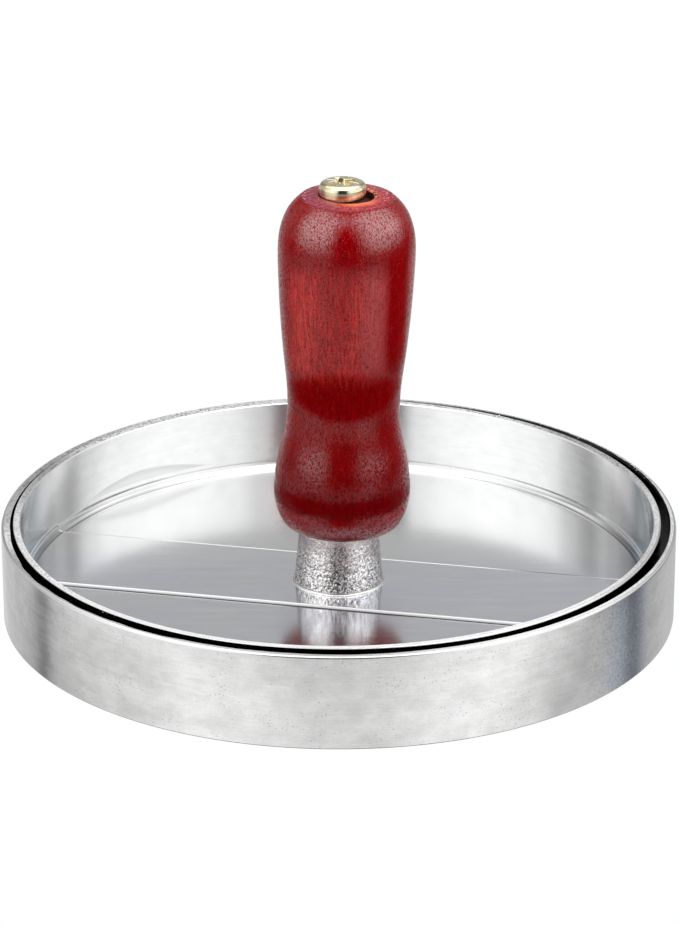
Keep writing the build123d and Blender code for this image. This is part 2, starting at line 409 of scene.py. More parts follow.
# painted shade, darker on the right
right_shade = n.mul(n.win(phi_, 55.0, 150.0, 15.0), 0.85)
grey = n.mix(right_shade, n.mix(streak, (0.28, 0.28, 0.28), (0.50, 0.50, 0.50)), (0.05, 0.05, 0.05))
# farther down, below the painted shade, the metal is bright
deep_ = n.ss(n.add(z, n.mul(n.sub(streak, 0.5), 2.0)), 10.5, 14.5, 1.0, 0.0)
grey = n.mix(deep_, grey, n.mix(streak, (0.72, 0.72, 0.72), (0.93, 0.93, 0.925)))
n.put(b.inputs["Roughness"], n.fmix(deep_, 0.10, 0.24))
grey = n.mix(top_shadow, grey, (0.020, 0.020, 0.022))
# light specks of bare metal in the painted shadow at the top
light_specks = n.cells(n.vec(n.mul(x, 1.3), n.mul(y, 1.3), n.mul(z, 1.3)), 1.0, out="Distance")
keep = n.noise(n.vec(n.mul(x, 0.25), n.mul(y, 0.25), 0.0), 1.0, 2.0, 0.5)
grey = n.mix(n.mul(n.ss(light_specks, 0.16, 0.24, 1.0, 0.0), n.ss(keep, 0.50, 0.58), top_shadow), grey, (0.9, 0.9, 0.9))
n.put(b.inputs["Base Color"], grey)

# inner wall of the plate's cup
cup_wall, n, b = metal("cup_wall", (0.93, 0.93, 0.93), 0.15, 0.8, 0.25)
p, x, y, z = mm_coords(n)
streak = n.noise(n.vec(n.mul(x, 0.03), n.mul(y, 0.03), n.mul(z, 1.4)), 1.0, 5.0, 0.6)
cloud = n.noise(n.vec(n.mul(x, 0.10), n.mul(y, 0.10), n.mul(z, 0.10)), 1.0, 3.0, 0.55)
blotch = n.noise(n.vec(n.mul(x, 0.30), n.mul(y, 0.30), n.mul(z, 0.55)), 1.0, 4.0, 0.6)
rub = n.noise(n.vec(n.mul(x, 0.05), n.mul(y, 0.05), n.mul(z, 2.2)), 1.0, 3.0, 0.6)
wall_c = n.mix(n.add(0.5, n.mul(n.sub(cloud, 0.5), 0.7), n.mul(n.sub(blotch, 0.5), 0.9), n.mul(n.sub(rub, 0.5), 0.5)),
               (0.82, 0.82, 0.815), (1.0, 1.0, 0.995))
# painted shade darkens the two sides by angle, and they have gone a little blue towards the front
psi = n.mul(n.m("ARCTAN2", x, y), 180 / math.pi)
wall_c = n.mix(n.table(psi, -180, 180, [
    (-180, 1.0), (-92, 1.0), (-86, 1.0), (-80, 0.76), (-75, 0.66), (-70, 0.68), (-65, 0.84), (-60, 0.76), (-54, 0.92),
    (-48, 1.0), (45, 1.0), (50, 0.86), (55, 0.86), (60, 0.92), (65, 0.74), (70, 0.60), (75, 0.57), (80, 0.70), (86, 1.0),
    (180, 1.0)]), (0.0, 0.0, 0.0), wall_c)
blue_ = n.mul(n.m("MAXIMUM", n.win(psi, -87.0, -75.0, 4.0), n.win(psi, 73.0, 88.0, 3.0)), n.ss(n.add(n.mul(blotch, 0.6), n.mul(cloud, 0.4)), 0.34, 0.56, 0.55, 1.0))
stain = n.new("ShaderNodeVectorMath", operation="MULTIPLY")
n.put(stain.inputs[0], wall_c)
n.put(stain.inputs[1], n.mix(blue_, (1.0, 1.0, 1.0), (0.80, 0.91, 0.99)))
wall_c = stain.outputs[0]
# a dark crescent of painted shade on the wall at the back left
ang_ = n.m("ARCTAN2", n.mul(x, -1.0), y)
top_ = n.table(ang_, 0.30, 1.0, [
    (0.30, 6.1), (0.42, 6.3), (0.487, 7.05), (0.544, 7.75), (0.602, 8.32), (0.663, 8.72), (0.721, 8.95), (0.77, 8.82),
    (0.825, 8.45), (0.866, 8.15), (0.911, 7.72), (1.0, 6.6)], False)
crescent_shade = n.mul(n.win(ang_, 0.44, 0.93, 0.06), n.ss(n.sub(z, top_), -0.35, 0.15, 1.0, 0.0), n.ss(z, 6.45, 6.8))
wall_c = n.mix(n.mul(crescent_shade, n.ss(n.sub(z, top_), -1.6, -0.1, 0.42, 0.78)), wall_c, (0.62, 0.62, 0.62))
# the cove at its foot is a shade duller, and painted shade darkens the line where the floor begins at the back
rr_ = n.m("SQRT", n.add(n.mul(n.add(x, 0.3), n.add(x, 0.3)), n.mul(y, y)))
wall_c = n.mix(n.add(n.ss(rr_, 55.9, 56.12, 0.08, 0.0), n.mul(n.win(rr_, 54.60, 54.98, 0.10), n.ss(y, 5.0, 20.0), 0.34)), wall_c, (0.0, 0.0, 0.0))
n.put(b.inputs["Base Color"], wall_c)
n.put(b.inputs["Normal"], n.bump(n.add(streak, n.mul(blotch, 0.4)), 0.00004, 0.3))

# floor of the cup, brushed along X
floor_m, n, b = metal("cup_floor", (0.90, 0.90, 0.915), 0.14)
b.inputs["Anisotropic"].default_value = 0.75
p, x, y, z = mm_coords(n)
tg = n.vec(0.0, 1.0, 0.0)
n.put(b.inputs["Tangent"], tg)
streak = n.noise(n.vec(n.mul(x, 0.05), n.mul(y, 1.1), n.mul(z, 0.1)), 1.0, 6.0, 0.6)
cloud = n.noise(n.vec(n.mul(x, 0.05), n.mul(y, 0.12), n.mul(z, 0.1)), 1.0, 3.0, 0.5)
hair = n.noise(n.vec(n.mul(x, 0.14), n.mul(y, 4.2), n.mul(z, 0.1)), 1.0, 3.0, 0.6)
floor_c = n.mix(n.add(0.5, n.mul(n.sub(streak, 0.5), 0.7), n.mul(n.sub(cloud, 0.5), 0.5), n.mul(n.sub(hair, 0.5), 0.6)),
                (0.84, 0.845, 0.870), (0.985, 0.985, 1.0))
# the back half is painted brighter, a painted reflection of the bright wall behind it
floor_c = n.mix(n.mul(n.ss(n.add(y, n.mul(n.sub(cloud, 0.5), 9.0)), 2.0, 18.0), 0.85), floor_c, (0.97, 0.97, 0.965))
blue = n.noise(n.vec(n.mul(x, 0.07), n.mul(y, 0.20), n.mul(z, 0.1)), 1.0, 3.0, 0.6)
floor_c = n.mix(n.mul(n.ss(blue, 0.42, 0.62), n.ss(y, 0.0, 20.0, 1.0, 0.0), 0.55), floor_c, (0.84, 0.875, 0.985))
n.put(b.inputs["Base Color"], floor_c)
n.put(b.inputs["Roughness"], n.add(0.13, n.mul(n.sub(streak, 0.5), 0.06)))
n.put(b.inputs["Normal"], n.bump(streak, 0.00003, 0.25))

# as-cast boss: bright facets of different tilt, with painted shade in the pits between them
boss_m, n, b = metal("cast_boss", (0.95, 0.95, 0.95), 0.22)
p, x, y, z = mm_coords(n)
jit = n.noise(p, 1.6, 2.0, 0.5)
pw = n.vec(n.add(x, n.mul(jit, 0.5)), n.add(y, n.mul(jit, 0.4)), n.add(z, n.mul(jit, 0.45)))
grain = n.cells(pw, 4.4, out="Color")
gx, gy, gz = n.split(grain)
grit = n.noise(p, 5.4, 3.0, 0.7)
patch_ = n.noise(p, 0.32, 2.0, 0.5)
calm = n.mul(n.ss(z, 7.0, 15.0), n.ss(patch_, 0.35, 0.60, 0.86, 0.60))
rough_ = n.sub(1.0, calm)
# painted shade in the pits, less of it higher up and in calm patches
pit_shade = n.mul(n.ss(n.add(n.mul(gx, 0.75), n.mul(grit, 0.25)), 0.16, 0.42, 1.0, 0.0), rough_)
n.put(b.inputs["Base Color"], n.mix(pit_shade, (1.0, 1.0, 0.985), (0.08, 0.08, 0.08)))
rad = n.m("SQRT", n.add(n.mul(x, x), n.mul(y, y), 0.01))
ux, uy = n.m("DIVIDE", x, rad), n.m("DIVIDE", y, rad)
across = n.mul(n.sub(gy, 0.5), rough_, 0.42)
facet = n.new("ShaderNodeVectorMath", operation="NORMALIZE")
n.put(facet.inputs[0], n.vec(n.sub(ux, n.mul(uy, across)), n.add(uy, n.mul(ux, across)),
                             n.add(0.09, n.mul(n.sub(gz, 0.34), rough_, 1.0))))
n.put(b.inputs["Normal"], n.bump(grit, 0.00006, 0.4, facet.outputs[0]))

# bare aluminium, out of sight
plain_m, n, b = metal("bare_metal", (0.86, 0.86, 0.86), 0.40)
p, x, y, z = mm_coords(n)
cloud = n.noise(p, 0.5, 4.0, 0.6)
n.put(b.inputs["Base Color"], n.mix(cloud, (0.76, 0.76, 0.76), (0.92, 0.92, 0.92)))
n.put(b.inputs["Roughness"], n.add(0.35, n.mul(cloud, 0.12)))

# zinc plating of the screw
zinc, n, b = metal("zinc_plate", (0.93, 0.86, 0.68), 0.24)
p, x, y, z = mm_coords(n)
cloud = n.noise(p, 0.9, 3.0, 0.6)
gold = n.mix(n.ss(cloud, 0.35, 0.65), (0.88, 0.76, 0.44), (0.97, 0.93, 0.74))
# the lower part of the head's side is darkened: painted shade
gold = n.mix(n.ss(z, 77.2, 78.3, 0.60, 0.0), gold, (0.60, 0.52, 0.34))
# orange specks near the top of the dome: painted glints
glint_spots = n.noise(p, 3.4, 2.0, 0.5)
gold = n.mix(n.mul(n.ss(glint_spots, 0.56, 0.66), n.ss(z, 79.0, 79.5, 0.0, 1.0), 0.8), gold, (1.0, 0.62, 0.22))
n.put(b.inputs["Base Color"], gold)
n.put(b.inputs["Roughness"], n.add(0.13, n.mul(cloud, 0.10)))

# lacquered red wood: stained side grain, end grain, worn lip and bare bore
def wood_coords(net):
    """Millimetres in the grip's own frame, so that the grain runs along its axis."""
    p_, x_, y_, z_ = mm_coords(net)
    lean_ = math.radians(1.06)
    along = net.sub(z_, 15.0)
    xl = net.sub(net.sub(x_, 0.43), net.mul(along, math.sin(lean_)))
    return xl, y_, z_


def lacquer(bsdf, rough, weight=1.0):
    bsdf.inputs["Specular IOR Level"].default_value = 0.0
    bsdf.inputs["Roughness"].default_value = 0.6
    bsdf.inputs["Coat Weight"].default_value = weight
    bsdf.inputs["Coat Roughness"].default_value = rough
    bsdf.inputs["Coat IOR"].default_value = 1.5


wood, n, b = material("red_lacquered_wood")
x, y, z = wood_coords(n)
th = n.m("ARCTAN2", y, x)
# angle round the grip in millimetres of arc, with the wood's own wander
warp = n.mul(n.sub(n.noise(n.vec(n.mul(x, 0.10), n.mul(y, 0.10), n.mul(z, 0.05)), 1.0, 2.0, 0.5), 0.5), 1.4)
gx = n.add(n.mul(x, 1.0), warp)
gy = n.add(n.mul(y, 1.0), warp)
fibre = n.noise(n.vec(n.mul(gx, 2.3), n.mul(gy, 2.3), n.mul(z, 0.22)), 1.0, 4.0, 0.66)
fine = n.noise(n.vec(n.mul(gx, 6.0), n.mul(gy, 6.0), n.mul(z, 0.45)), 1.0, 3.0, 0.6)
flame = n.noise(n.vec(n.mul(gx, 0.20), n.mul(gy, 0.20), n.mul(z, 0.035)), 1.0, 3.0, 0.55)
deep = n.mix(n.ss(fibre, 0.32, 0.68), (0.098, 0.0001, 0.0006), (0.140, 0.0003, 0.0012))
light = n.mix(n.ss(fibre, 0.38, 0.62), (0.160, 0.0042, 0.0036), (0.305, 0.0165, 0.0125))
# painted light: the front of the grip, a little left of centre, is lighter and more orange between heights 46.5 and 66
front_light = n.mul(n.win(x, -9.8, 6.9, 1.0), n.ss(y, -4.5, -2.0, 1.0, 0.0), n.win(z, 46.5, 66.0, 2.2))
red = n.mix(n.mul(n.add(0.38, n.mul(n.ss(flame, 0.36, 0.64), 0.58)), n.add(0.012, n.mul(front_light, n.ss(x, 1.0, 5.5, 0.86, 0.66)))), deep, light)
red = n.mix(n.mul(front_light, n.ss(x, 1.0, 5.5), 0.45), red, (0.205, 0.024, 0.028))
# open pores: short dark ticks, and a few light pinkish specks under the lacquer
tick = n.cells(n.vec(n.mul(gx, 2.9), n.mul(gy, 2.9), n.mul(z, 0.80)), 1.0, out="Distance")
red = n.mix(n.mul(n.ss(tick, 0.12, 0.28, 1.0, 0.0), 0.72), red, (0.040, 0.0001, 0.0004))
speck = n.cells(n.vec(n.mul(x, 2.9), n.mul(y, 2.9), n.mul(z, 2.5)), 1.0, out="Distance")
pick_ = n.noise(n.vec(n.mul(x, 0.8), n.mul(y, 0.8), n.mul(z, 0.6)), 1.0, 3.0, 0.6)
light_specks = n.mul(n.ss(speck, 0.10, 0.24, 1.0, 0.0), n.ss(n.add(n.mul(pick_, 0.55), n.mul(fine, 0.45)), 0.42, 0.62, 0.05, 1.0))
red = n.mix(n.mul(light_specks, 0.62), red, (0.36, 0.070, 0.062))
# painted shade by height: the wood is darker lower down, darkest from 22 to 24.5, and light again at the very foot
shade = n.table(z, 15.0, 78.0, [(15, 0.97), (20, 0.97), (22, 0.52), (24.5, 0.52), (27, 0.62), (36, 0.76),
                                (40, 0.74), (47, 0.76), (52, 0.84), (64, 0.90), (70, 0.84), (78, 0.86)])
lens = n.add(n.m("POWER", n.mul(x, 1 / 9.4), 2.0), n.m("POWER", n.mul(n.sub(z, 43.4), 1 / 4.6), 2.0))
worn = n.mul(n.ss(n.add(lens, n.mul(n.sub(fine, 0.5), 0.8)), 0.70, 1.25, 1.0, 0.0), n.ss(y, -2.0, 0.0, 1.0, 0.0))
groove = n.mul(n.win(n.add(z, n.mul(n.sub(fine, 0.5), 1.4)), 22.1, 24.6, 0.75), n.ss(y, -2.0, 0.0, 1.0, 0.0),
               n.ss(n.m("ABSOLUTE", x), 7.5, 11.0, 1.0, 0.6))
strip = n.mul(n.win(n.add(x, n.mul(n.sub(fine, 0.5), 0.8)), 7.4, 10.4, 0.5), n.ss(y, -1.0, 0.0, 1.0, 0.0), n.win(z, 48.0, 70.0, 2.5), 0.75)
dull = n.m("MAXIMUM", n.m("MAXIMUM", worn, groove), strip)
red = n.mix(shade, (0.0, 0.0, 0.0), red)
n.put(b.inputs["Base Color"], red)
lacquer(b, 0.035)
peel_w = n.ss(n.add(n.mul(n.noise(n.vec(n.mul(gx, 3.3), n.mul(gy, 3.3), n.mul(z, 2.4)), 1.0, 3.0, 0.7), 0.8), n.mul(fine, 0.2)), 0.42, 0.53, n.ss(z, 29.0, 34.0, 0.0, 0.16), 1.0)
n.put(b.inputs["Coat Weight"], n.mul(peel_w, n.sub(1.0, n.mul(dull, 0.96))))
# the lacquer follows the pores: a fine orange peel, stretched a little along the grain
peel = n.noise(n.vec(n.mul(gx, 2.3), n.mul(gy, 2.3), n.mul(z, 1.5)), 1.0, 3.0, 0.65)
ridge = n.noise(n.vec(n.mul(gx, 2.7), n.mul(gy, 2.7), n.mul(z, 0.35)), 1.0, 2.0, 0.6)
coat_n = n.bump(n.add(n.mul(peel, 0.75), n.mul(ridge, 0.45), n.mul(tick, 0.25)), 0.00014, 0.38)
n.put(b.inputs["Coat Normal"], coat_n)
n.put(b.inputs["Normal"], n.bump(fibre, 0.00006, 0.4))

# end grain of the top face, rougher and paler
wood_end, n, b = material("red_end_grain")
x, y, z = wood_coords(n)
p = n.vec(x, y, n.mul(z, 0.6))
pores = n.cells(p, 2.7, out="Distance")
mott = n.noise(p, 1.1, 4.0, 0.65)
rings_ = n.noise(n.vec(n.mul(x, 0.5), n.mul(y, 1.6), 0.0), 1.0, 3.0, 0.6)
col = n.mix(n.ss(mott, 0.34, 0.66), (0.090, 0.0010, 0.0045), (0.22, 0.012, 0.018))
col = n.mix(n.mul(n.ss(rings_, 0.45, 0.62), 0.35), col, (0.075, 0.0012, 0.006))
# the left of the end face has caught a purple haze
left_ = n.ss(n.add(x, n.mul(y, 0.25)), -5.5, -1.5, 1.0, 0.0)
col = n.mix(n.mul(left_, n.ss(mott, 0.38, 0.60, 0.15, 0.9)), col, (0.105, 0.014, 0.032))
edge_ = n.sub(n.m("SQRT", n.add(n.mul(x, x), n.mul(y, y))), 8.2)
col = n.mix(n.ss(edge_, -0.45, -0.15, 0.0, 0.9), col, (0.080, 0.0004, 0.0030))
# wear near the mouth lets the bare wood through
rad = n.m("SQRT", n.add(n.mul(x, x), n.mul(y, y)))
wear = n.mul(n.ss(n.add(rad, n.mul(n.sub(mott, 0.5), 2.2)), 5.5, 6.9, 1.0, 0.0), n.ss(y, -5.0, -1.5, 1.0, 0.12), n.ss(x, -2.5, 1.5, 0.30, 1.0))
col = n.mix(n.mul(wear, 0.85), col, (0.40, 0.085, 0.030))
grit_ = n.cells(p, 3.4, out="Color")
gr, gg, gb_ = n.split(grit_)
col = n.mix(n.mul(n.ss(gr, 0.84, 0.94), n.ss(y, -4.0, 0.0, 0.20, 0.6)), col, (0.42, 0.17, 0.19))
col = n.mix(n.mul(n.ss(pores, 0.12, 0.30, 1.0, 0.0), 0.65), col, (0.030, 0.0008, 0.004))
n.put(b.inputs["Base Color"], col)
lacquer(b, 0.13, 0.62)
n.put(b.inputs["Coat Normal"], n.bump(n.add(n.mul(pores, 0.8), n.mul(mott, 0.6)), 0.00016, 0.75))

# worn lip round the mouth of the counterbore
wood_lip, n, b = material("worn_wood_lip")
x, y, z = wood_coords(n)
p = n.vec(x, y, z)
mott = n.noise(p, 1.5, 4.0, 0.65)
col = n.mix(n.mul(n.ss(mott, 0.40, 0.64), n.ss(x, -2.0, 2.0, 0.45, 0.95)), (0.11, 0.008, 0.006), (0.50, 0.165, 0.080))
n.put(b.inputs["Base Color"], col)
b.inputs["Roughness"].default_value = 0.55
n.put(b.inputs["Normal"], n.bump(mott, 0.00012, 0.5))

# bare wood of the base and the bore
wood_raw, n, b = material("bare_wood")
x, y, z = wood_coords(n)
p = n.vec(x, y, n.mul(z, 0.2))
mott = n.noise(p, 1.4, 4.0, 0.6)
n.put(b.inputs["Base Color"], n.mix(n.ss(mott, 0.34, 0.66), (0.16, 0.010, 0.008), (0.30, 0.030, 0.018)))
b.inputs["Roughness"].default_value = 0.7
n.put(b.inputs["Normal"], n.bump(mott, 0.00010, 0.4))

# stained wall of the counterbore, darkened further with painted shade
wood_bore, n, b = material("stained_shaded_counterbore")
x, y, z = wood_coords(n)
p = n.vec(x, y, z)
mott = n.noise(p, 1.6, 3.0, 0.6)
n.put(b.inputs["Base Color"], n.mix(n.ss(mott, 0.34, 0.66), (0.030, 0.0020, 0.0020), (0.075, 0.006, 0.005)))
b.inputs["Roughness"].default_value = 0.55
n.put(b.inputs["Normal"], n.bump(mott, 0.00010, 0.4))


# ============================================================ mould ring
def around(table, phi):
    """Value at an angle (degrees from the front, positive to the right), eased between points."""
    phi = (phi + 180.0) % 360.0 - 180.0
    for (a0, v0), (a1, v1) in zip(table, table[1:]):
        if phi <= a1:
            t = (phi - a0) / (a1 - a0)
            t = t * t * (3 - 2 * t)
            return v0 + (v1 - v0) * t
    return table[-1][1]


# width of the hand-broken edge at the mouth of the ring's bore
RING_EDGE = [(-180, 0.10), (-130, 0.06), (-84, 0.06), (-75, 0.32), (-66, 0.82), (-55, 0.86), (-44, 0.76),
             (-34, 0.72), (-25, 0.44), (-10, 0.24), (5, 0.27), (16, 0.08), (30, 0.05), (80, 0.08),
             (95, 0.14), (105, 0.28), (116, 0.42), (132, 0.47), (146, 0.42), (160, 0.24), (180, 0.10)]
# height and width of the plate's outer rim round
PLATE_EDGE = [(-180, 0.08), (-40, 0.06), (-5, 0.09), (5, 0.16), (16, 0.22), (27, 0.34), (45, 0.37),
              (68, 0.38), (82, 0.30), (95, 0.14), (115, 0.09), (180, 0.08)]


def build_ring():
    R, Rb, H, sx = 60.0, 58.65, 16.9, 0.25
    prof = []                                   # r, z, centre x, material
    prof += [(59.80, 0.0, 0.0, 0), (60.0, 0.20, 0.0, 5), (60.0, 0.26, 0.0, 0)]
    prof += [(60.0, z, 0.0, 0) for z in (4.0, 8.0, 12.0, 15.8, 16.40)]
    prof += [(r, z, 0.0, 1) for r, z in arc(59.55, 16.45, 0.45, 0, 90, 9)]
    prof += [(59.50, H, 0.03, 2)]
    prof += [("edge", 0.04, sx, 2), ("edge", 0.0, sx, 2), ("edge", -0.5, sx, 3), ("edge", -1.0, sx, 3)]
    prof += [(Rb, z, sx, 3) for z in (12.0, 6.0, 0.30)]
    prof += [(Rb, 0.20, sx, 3), (58.85, 0.0, sx, 4), (59.30, 0.0, 0.1, 4)]
    N = 720
    g = Rows()
    rows = []
    for r, z, cx, m in prof:
        pts = []
        for i in range(N):
            a = 2 * math.pi * i / N
            rr, zz = r, z
            if r == "edge":
                phi = math.degrees(a) + 90.0
                w_ = around(RING_EDGE, phi) * (1.0 + 0.10 * math.sin(a * 23.0) + 0.07 * math.sin(a * 57.0 + 1.0))
                d_ = max(0.20, 0.8 * w_)
                if z >= 0:
                    rr, zz = Rb + w_ + z, H
                else:
                    rr, zz = Rb + w_ * (1 + z), H + d_ * z
            pts.append((cx + rr * math.cos(a), rr * math.sin(a), zz))
        rows.append(g.row(pts))
    for k in range(len(rows)):
        a, bb = rows[k], rows[(k + 1) % len(rows)]
        g.join(a, bb, prof[(k + 1) % len(rows)][3] if k + 1 < len(rows) else 4)
    return make_object("mould_ring_fine", g.v, g.f,
                       [ring_wall, edge, rim_ring, gap_wall, plain_m, foot_edge], g.fm)


# ============================================================ press plate
BOSS_X, BOSS_FOOT, BOSS_TOP, BOSS_Z = 0.0, 7.88, 6.92, 16.20
SCREW_X = 0.68


def build_plate():
    cx0 = -0.30
    R, wall, H = 57.6, 1.40, 17.35
    Rc = R - wall                       # 56.2, inside of the wall
    cove = 1.50
    Rf = Rc - cove                      # 54.7, where the floor ends
    zl, zb = 4.55, 5.00
    turn = math.radians(-12.3)
    ct, st = math.cos(turn), math.sin(turn)

    # section across the band: (v, z), with small rounds on the step edges
    def step(v_low, v_high, r2):
        """From the low floor to the band top across one sloping side."""
        s = 1 if v_high > v_low else -1
        dv, dz = abs(v_high - v_low), zb - zl
        a = math.atan2(dz, dv)          # slope of the side
        out = []
        r1 = 0.10                       # foot
        t1 = r1 * math.tan(a / 2)
        for i in range(5):
            q = a * i / 4
            out.append((v_low - s * t1 + s * r1 * math.sin(q), zl + r1 * (1 - math.cos(q))))
        t2 = r2 * math.tan(a / 2)       # top edge
        for i in range(9):
            q = a * (1 - i / 8)
            out.append((v_high + s * t2 - s * r2 * math.sin(q), zb - r2 * (1 - math.cos(q))))
        return out
    f_low, f_top = -0.75 - 11.80, -0.75 - 11.30
    b_low, b_top = -0.75 + 11.80, -0.75 + 11.30
    front = step(f_low, f_top, 0.16)
    back = step(b_low, b_top, 0.05)[::-1]
    # a low burr runs along the rear edge
    back = [(b_top - 0.30, zb), (b_top - 0.22, zb + 0.035), (b_top - 0.15, zb + 0.058), (b_top - 0.08, zb + 0.04)] + back
    rows_v = []
    A = [math.radians(-90 + 1.0 * i) for i in range(181)]
    base = [Rf * math.sin(a) for a in A]
    keep_f = (front[0][0] - 0.20, front[-1][0] + 0.10)
    keep_b = (back[0][0] - 0.10, back[-1][0] + 0.10)
    for v in base:
        if keep_f[0] - 0.35 < v < keep_f[1] + 0.35 or keep_b[0] - 0.35 < v < keep_b[1] + 0.35:
            continue
        rows_v.append((v, zb if f_top < v < b_top else zl))
    rows_v += [(keep_f[0], zl), (keep_f[1], zb), (keep_b[0], zb), (keep_b[1], zl)]
    rows_v += front + back
    rows_v.sort(key=lambda q: q[0])
    n = len(rows_v)
    M = 64                              # columns across the floor
    ss = [-1.0, -0.9985] + [-0.9985 + 1.997 * i / M for i in range(1, M)] + [0.9985, 1.0]
    g = Rows()

    def world(u, v, z):
        return (cx0 + u * ct - v * st, u * st + v * ct, z)

    # boss centre in the band's frame
    bx, by = BOSS_X - cx0, 0.0
    bu, bv = bx * ct + by * st, -bx * st + by * ct
    floor_rows = []
    for j in range(n):
        v, z = rows_v[j]
        half = math.sqrt(max(Rf * Rf - v * v, 0.0))
        if j in (0, n - 1):
            floor_rows.append([g.row([world(0, v, z)])[0]])
        else:
            floor_rows.append(g.row([world(s * half, v, z) for s in ss]))
    hole_lo_u, hole_hi_u = bu - 12.0, bu + 12.0
    hole_lo_v, hole_hi_v = bv - 9.9, bv + 9.9
    hole_faces = []
    for j in range(n - 1):
        a, bb = floor_rows[j], floor_rows[j + 1]
        if len(a) == 1:
            for i in range(len(bb) - 1):
                g.f.append((a[0], bb[i + 1], bb[i])); g.fm.append(0)
            continue
        if len(bb) == 1:
            for i in range(len(a) - 1):
                g.f.append((a[i], a[i + 1], bb[0])); g.fm.append(0)
            continue
        va, vb = rows_v[j][0], rows_v[j + 1][0]
        side = abs(rows_v[j][1] - rows_v[j + 1][1]) > 1e-6 or not (
            rows_v[j][1] in (zl, zb)) or (keep_f[0] - 1e-6 < rows_v[j][0] < front[0][0])
        ha, hb = math.sqrt(Rf * Rf - va * va), math.sqrt(Rf * Rf - vb * vb)
        for i in range(len(a) - 1):
            us = (ss[i] * ha, ss[i + 1] * ha, ss[i] * hb, ss[i + 1] * hb)
            f = (a[i], a[i + 1], bb[i + 1], bb[i])
            if (va > hole_lo_v and vb < hole_hi_v and min(us) > hole_lo_u and max(us) < hole_hi_u):
                hole_faces.append(f)
                continue
            g.f.append(f)
            g.fm.append(5 if side else 0)

    # the boundary of the floor as one loop, counter-clockwise from the front pole
    loop = [(0, 0)]
    for j in range(1, n - 1):
        loop.append((j, 1))
    loop.append((n - 1, 0))
    for j in range(n - 2, 0, -1):
        loop.append((j, -1))
    N = len(loop)
    angles, heights, start = [], [], []
    for j, side in loop:
        v, z = rows_v[j]
        a = math.asin(max(-1, min(1, v / Rf)))
        if side == -1:
            a = math.pi - a
        angles.append(a)
        heights.append(z)
        start.append(floor_rows[j][-1] if side == 1 else floor_rows[j][0])
    rows = [start]
    mats = []

    def ring_row(radius, zf, follow=1.0):
        pts = []
        for k in range(N):
            v = rows_v[loop[k][0]][0]
            a = angles[k]
            r = radius(k) if callable(radius) else radius
            # near the steps the section keeps its distance v instead of its angle
            near = max(0.0, min(1.0, (26.0 - abs(v)) / 10.0)) * follow
            if near > 0 and r > Rf:
                a2 = math.asin(v / r)
                if loop[k][1] == -1:
                    a2 = math.pi - a2
                a = a + (a2 - a) * near
            pts.append(world(r * math.cos(a), r * math.sin(a), zf(k)))
        return g.row(pts)

    for i in range(1, 9):
        q = math.radians(90 * i / 8)
        rows.append(ring_row(Rf + cove * math.sin(q),
                             lambda k, q=q: heights[k] + cove * (1 - math.cos(q))))
        mats.append(1)
    for z in (6.56, 9.0, 12.0, 15.0, 17.04):
        rows.append(ring_row(Rc, lambda k, z=z: z)); mats.append(2)
    rows.append(ring_row(Rc, lambda k: H - 0.22)); mats.append(2)
    for i in (1, 2, 3):
        t = i / 3
        rows.append(ring_row(Rc + 0.22 * (t + 0.12 * math.sin(math.pi * t)),
                             lambda k, t=t: H - 0.22 + 0.22 * t)); mats.append(3)
    rows.append(ring_row(Rc + 0.27, lambda k: H)); mats.append(4)
    bev = [around(PLATE_EDGE, math.degrees(angles[k] + turn) + 90.0) for k in range(N)]
    rows.append(ring_row(lambda k: R - bev[k] - 0.05, lambda k: H)); mats.append(4)
    for i in range(0, 6):
        q = math.radians(90 - 90 * i / 5)
        rows.append(ring_row(lambda k, q=q: R - bev[k] + bev[k] * math.cos(q),
                             lambda k, q=q: H - bev[k] + bev[k] * math.sin(q))); mats.append(3)
    for z in (16.88, 12.0, 6.0, 1.0, 0.80):
        rows.append(ring_row(R, lambda k, z=z: z)); mats.append(6)
    for i in range(1, 7):
        q = math.radians(90 * i / 6)
        rows.append(ring_row(R - 0.80 + 0.80 * math.cos(q),
                             lambda k, q=q: 0.80 - 0.80 * math.sin(q))); mats.append(6)
    for r in (56.5, 40.0, 20.0, 6.0):
        rows.append(ring_row(r, lambda k: 0.0, 0.0)); mats.append(7)
    for k in range(len(rows) - 1):
        g.join(rows[k], rows[k + 1], mats[k])
    centre = g.row([world(0, 0, 0)])[0]
    g.fan(rows[-1], centre, 7)

